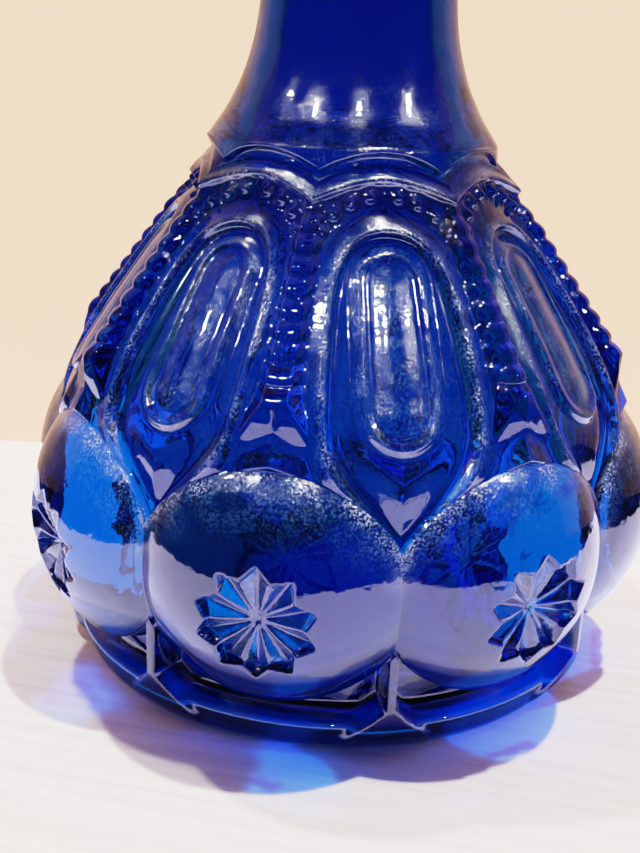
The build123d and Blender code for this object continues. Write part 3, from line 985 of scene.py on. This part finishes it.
def place_stage():
    """The board, just under the standing ring, and the backdrop, square to the camera's view."""
    low, far = -0.03, 3000.0
    board = [(-far, -far, low), (far, -far, low), (far, far, low), (-far, far, low)]
    flat_stage("floor", board, floor_look())
    wall = flat_stage("wall", [(-far, 0, low), (far, 0, low), (far, 0, far), (-far, 0, far)], wall_look())
    behind = Vector((-sin(TURN), cos(TURN), 0)) * WALL_AWAY * MM
    wall.matrix_world = Matrix.Translation(behind) @ Matrix.Rotation(TURN, 4, "Z")
    wall.visible_shadow = False


def lamp(name, bearing, rise, away, size, watts):
    """Round lamp aimed at the bottle, at degrees round from the camera's side and degrees above level."""
    data = bpy.data.lights.new(name, "AREA")
    data.shape = "DISK"
    data.size = size
    data.energy = watts
    obj = bpy.data.objects.new(name, data)
    bpy.context.scene.collection.objects.link(obj)
    turn = radians(bearing) + TURN + FRONT
    out = Vector((cos(turn) * cos(radians(rise)), sin(turn) * cos(radians(rise)), sin(radians(rise))))
    obj.location = Vector((0, 0, LAMP_AIM)) + out * away
    obj.rotation_euler = out.to_track_quat("Z", "Y").to_euler()
    obj.visible_camera = False
    return obj


def place_lights():
    """A strong lamp overhead, a weaker one behind on the left, and four small ones that the glass mirrors."""
    lamp("key_overhead", 102, 80, 2.0, 0.07, 68.0)
    lamp("key_left", -125, 66, 0.95, 0.05, 7.8)
    small = ((-70, 41, 0.8), (-48, 51, 1.6), (5, 54, 1.3), (64, 45, 1.6))
    for i, (bearing, rise, watts) in enumerate(small):
        spot = lamp("small_%d" % (i + 1), bearing, rise, 0.75, 0.03, watts)
        spot.visible_diffuse = False


def place_world():
    """Warm pale surroundings near the level, seen directly and through the glass, and a dim room beyond."""
    world = bpy.data.worlds.new("room")
    bpy.context.scene.world = world
    room = Look(world, "ShaderNodeOutputWorld", "Generated")
    level = room.fade(room.split(room.place, "Z"), 0.45, 0.85, 1.0, 0.06)
    seen = room.math("MAXIMUM", room.ray("Is Camera Ray"), room.ray("Is Transmission Ray"))
    not_mirrored = room.math("LESS_THAN", room.ray("Glossy Depth"), 0.5)
    keep = room.math("ADD", room.math("MULTIPLY", not_mirrored, 0.8), 0.2)
    share = room.math("MULTIPLY", level, room.math("MULTIPLY", seen, keep))
    background = room.add("ShaderNodeBackground", {"Color": room.blend(share, DIM, (*WALL_LIGHT, 1))})
    room.put(room.end.inputs["Surface"], background.outputs[0])


def set_exposure():
    """A bright exposure that rolls off towards white, so that lit surfaces stay just below it."""
    view = bpy.context.scene.view_settings
    view.view_transform = "Standard"
    view.use_curve_mapping = True
    brightest = 4.0
    view.curve_mapping.white_level = grey(brightest)
    curve = view.curve_mapping.curves[3]
    # scene brightness, and how bright it is shown
    roll_off = [
        (0.02, 0.011), (0.05, 0.036), (0.1, 0.086), (0.25, 0.225),
        (0.5, 0.42), (1.0, 0.66), (1.6, 0.78), (2.4, 0.865)]
    for light, shown in roll_off:
        curve.points.new(light / brightest, shown)
    curve.points[-1].location = (1.0, 0.95)
    view.curve_mapping.update()


# ---- everything in place ------------------------------------------------------------
def stands_for(obj, body, node):
    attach(obj, body)
    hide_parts(node)


place_camera()
glass = glass_look("cobalt_glass")

body = bottle_mesh().build("bottle_glass")
body.data.materials.append(glass)
stands_for(body, "bottle", "bottle")

stopper = stopper_mesh().build("stopper_glass")
stopper.data.materials.append(glass)
stands_for(stopper, "glass_stopper", "glass_stopper")

cork = cork_mesh()
cork.data.materials.append(cork_look())
stands_for(cork, "cork_sleeve", "cork_sleeve")

place_stage()
place_lights()
place_world()
set_exposure()
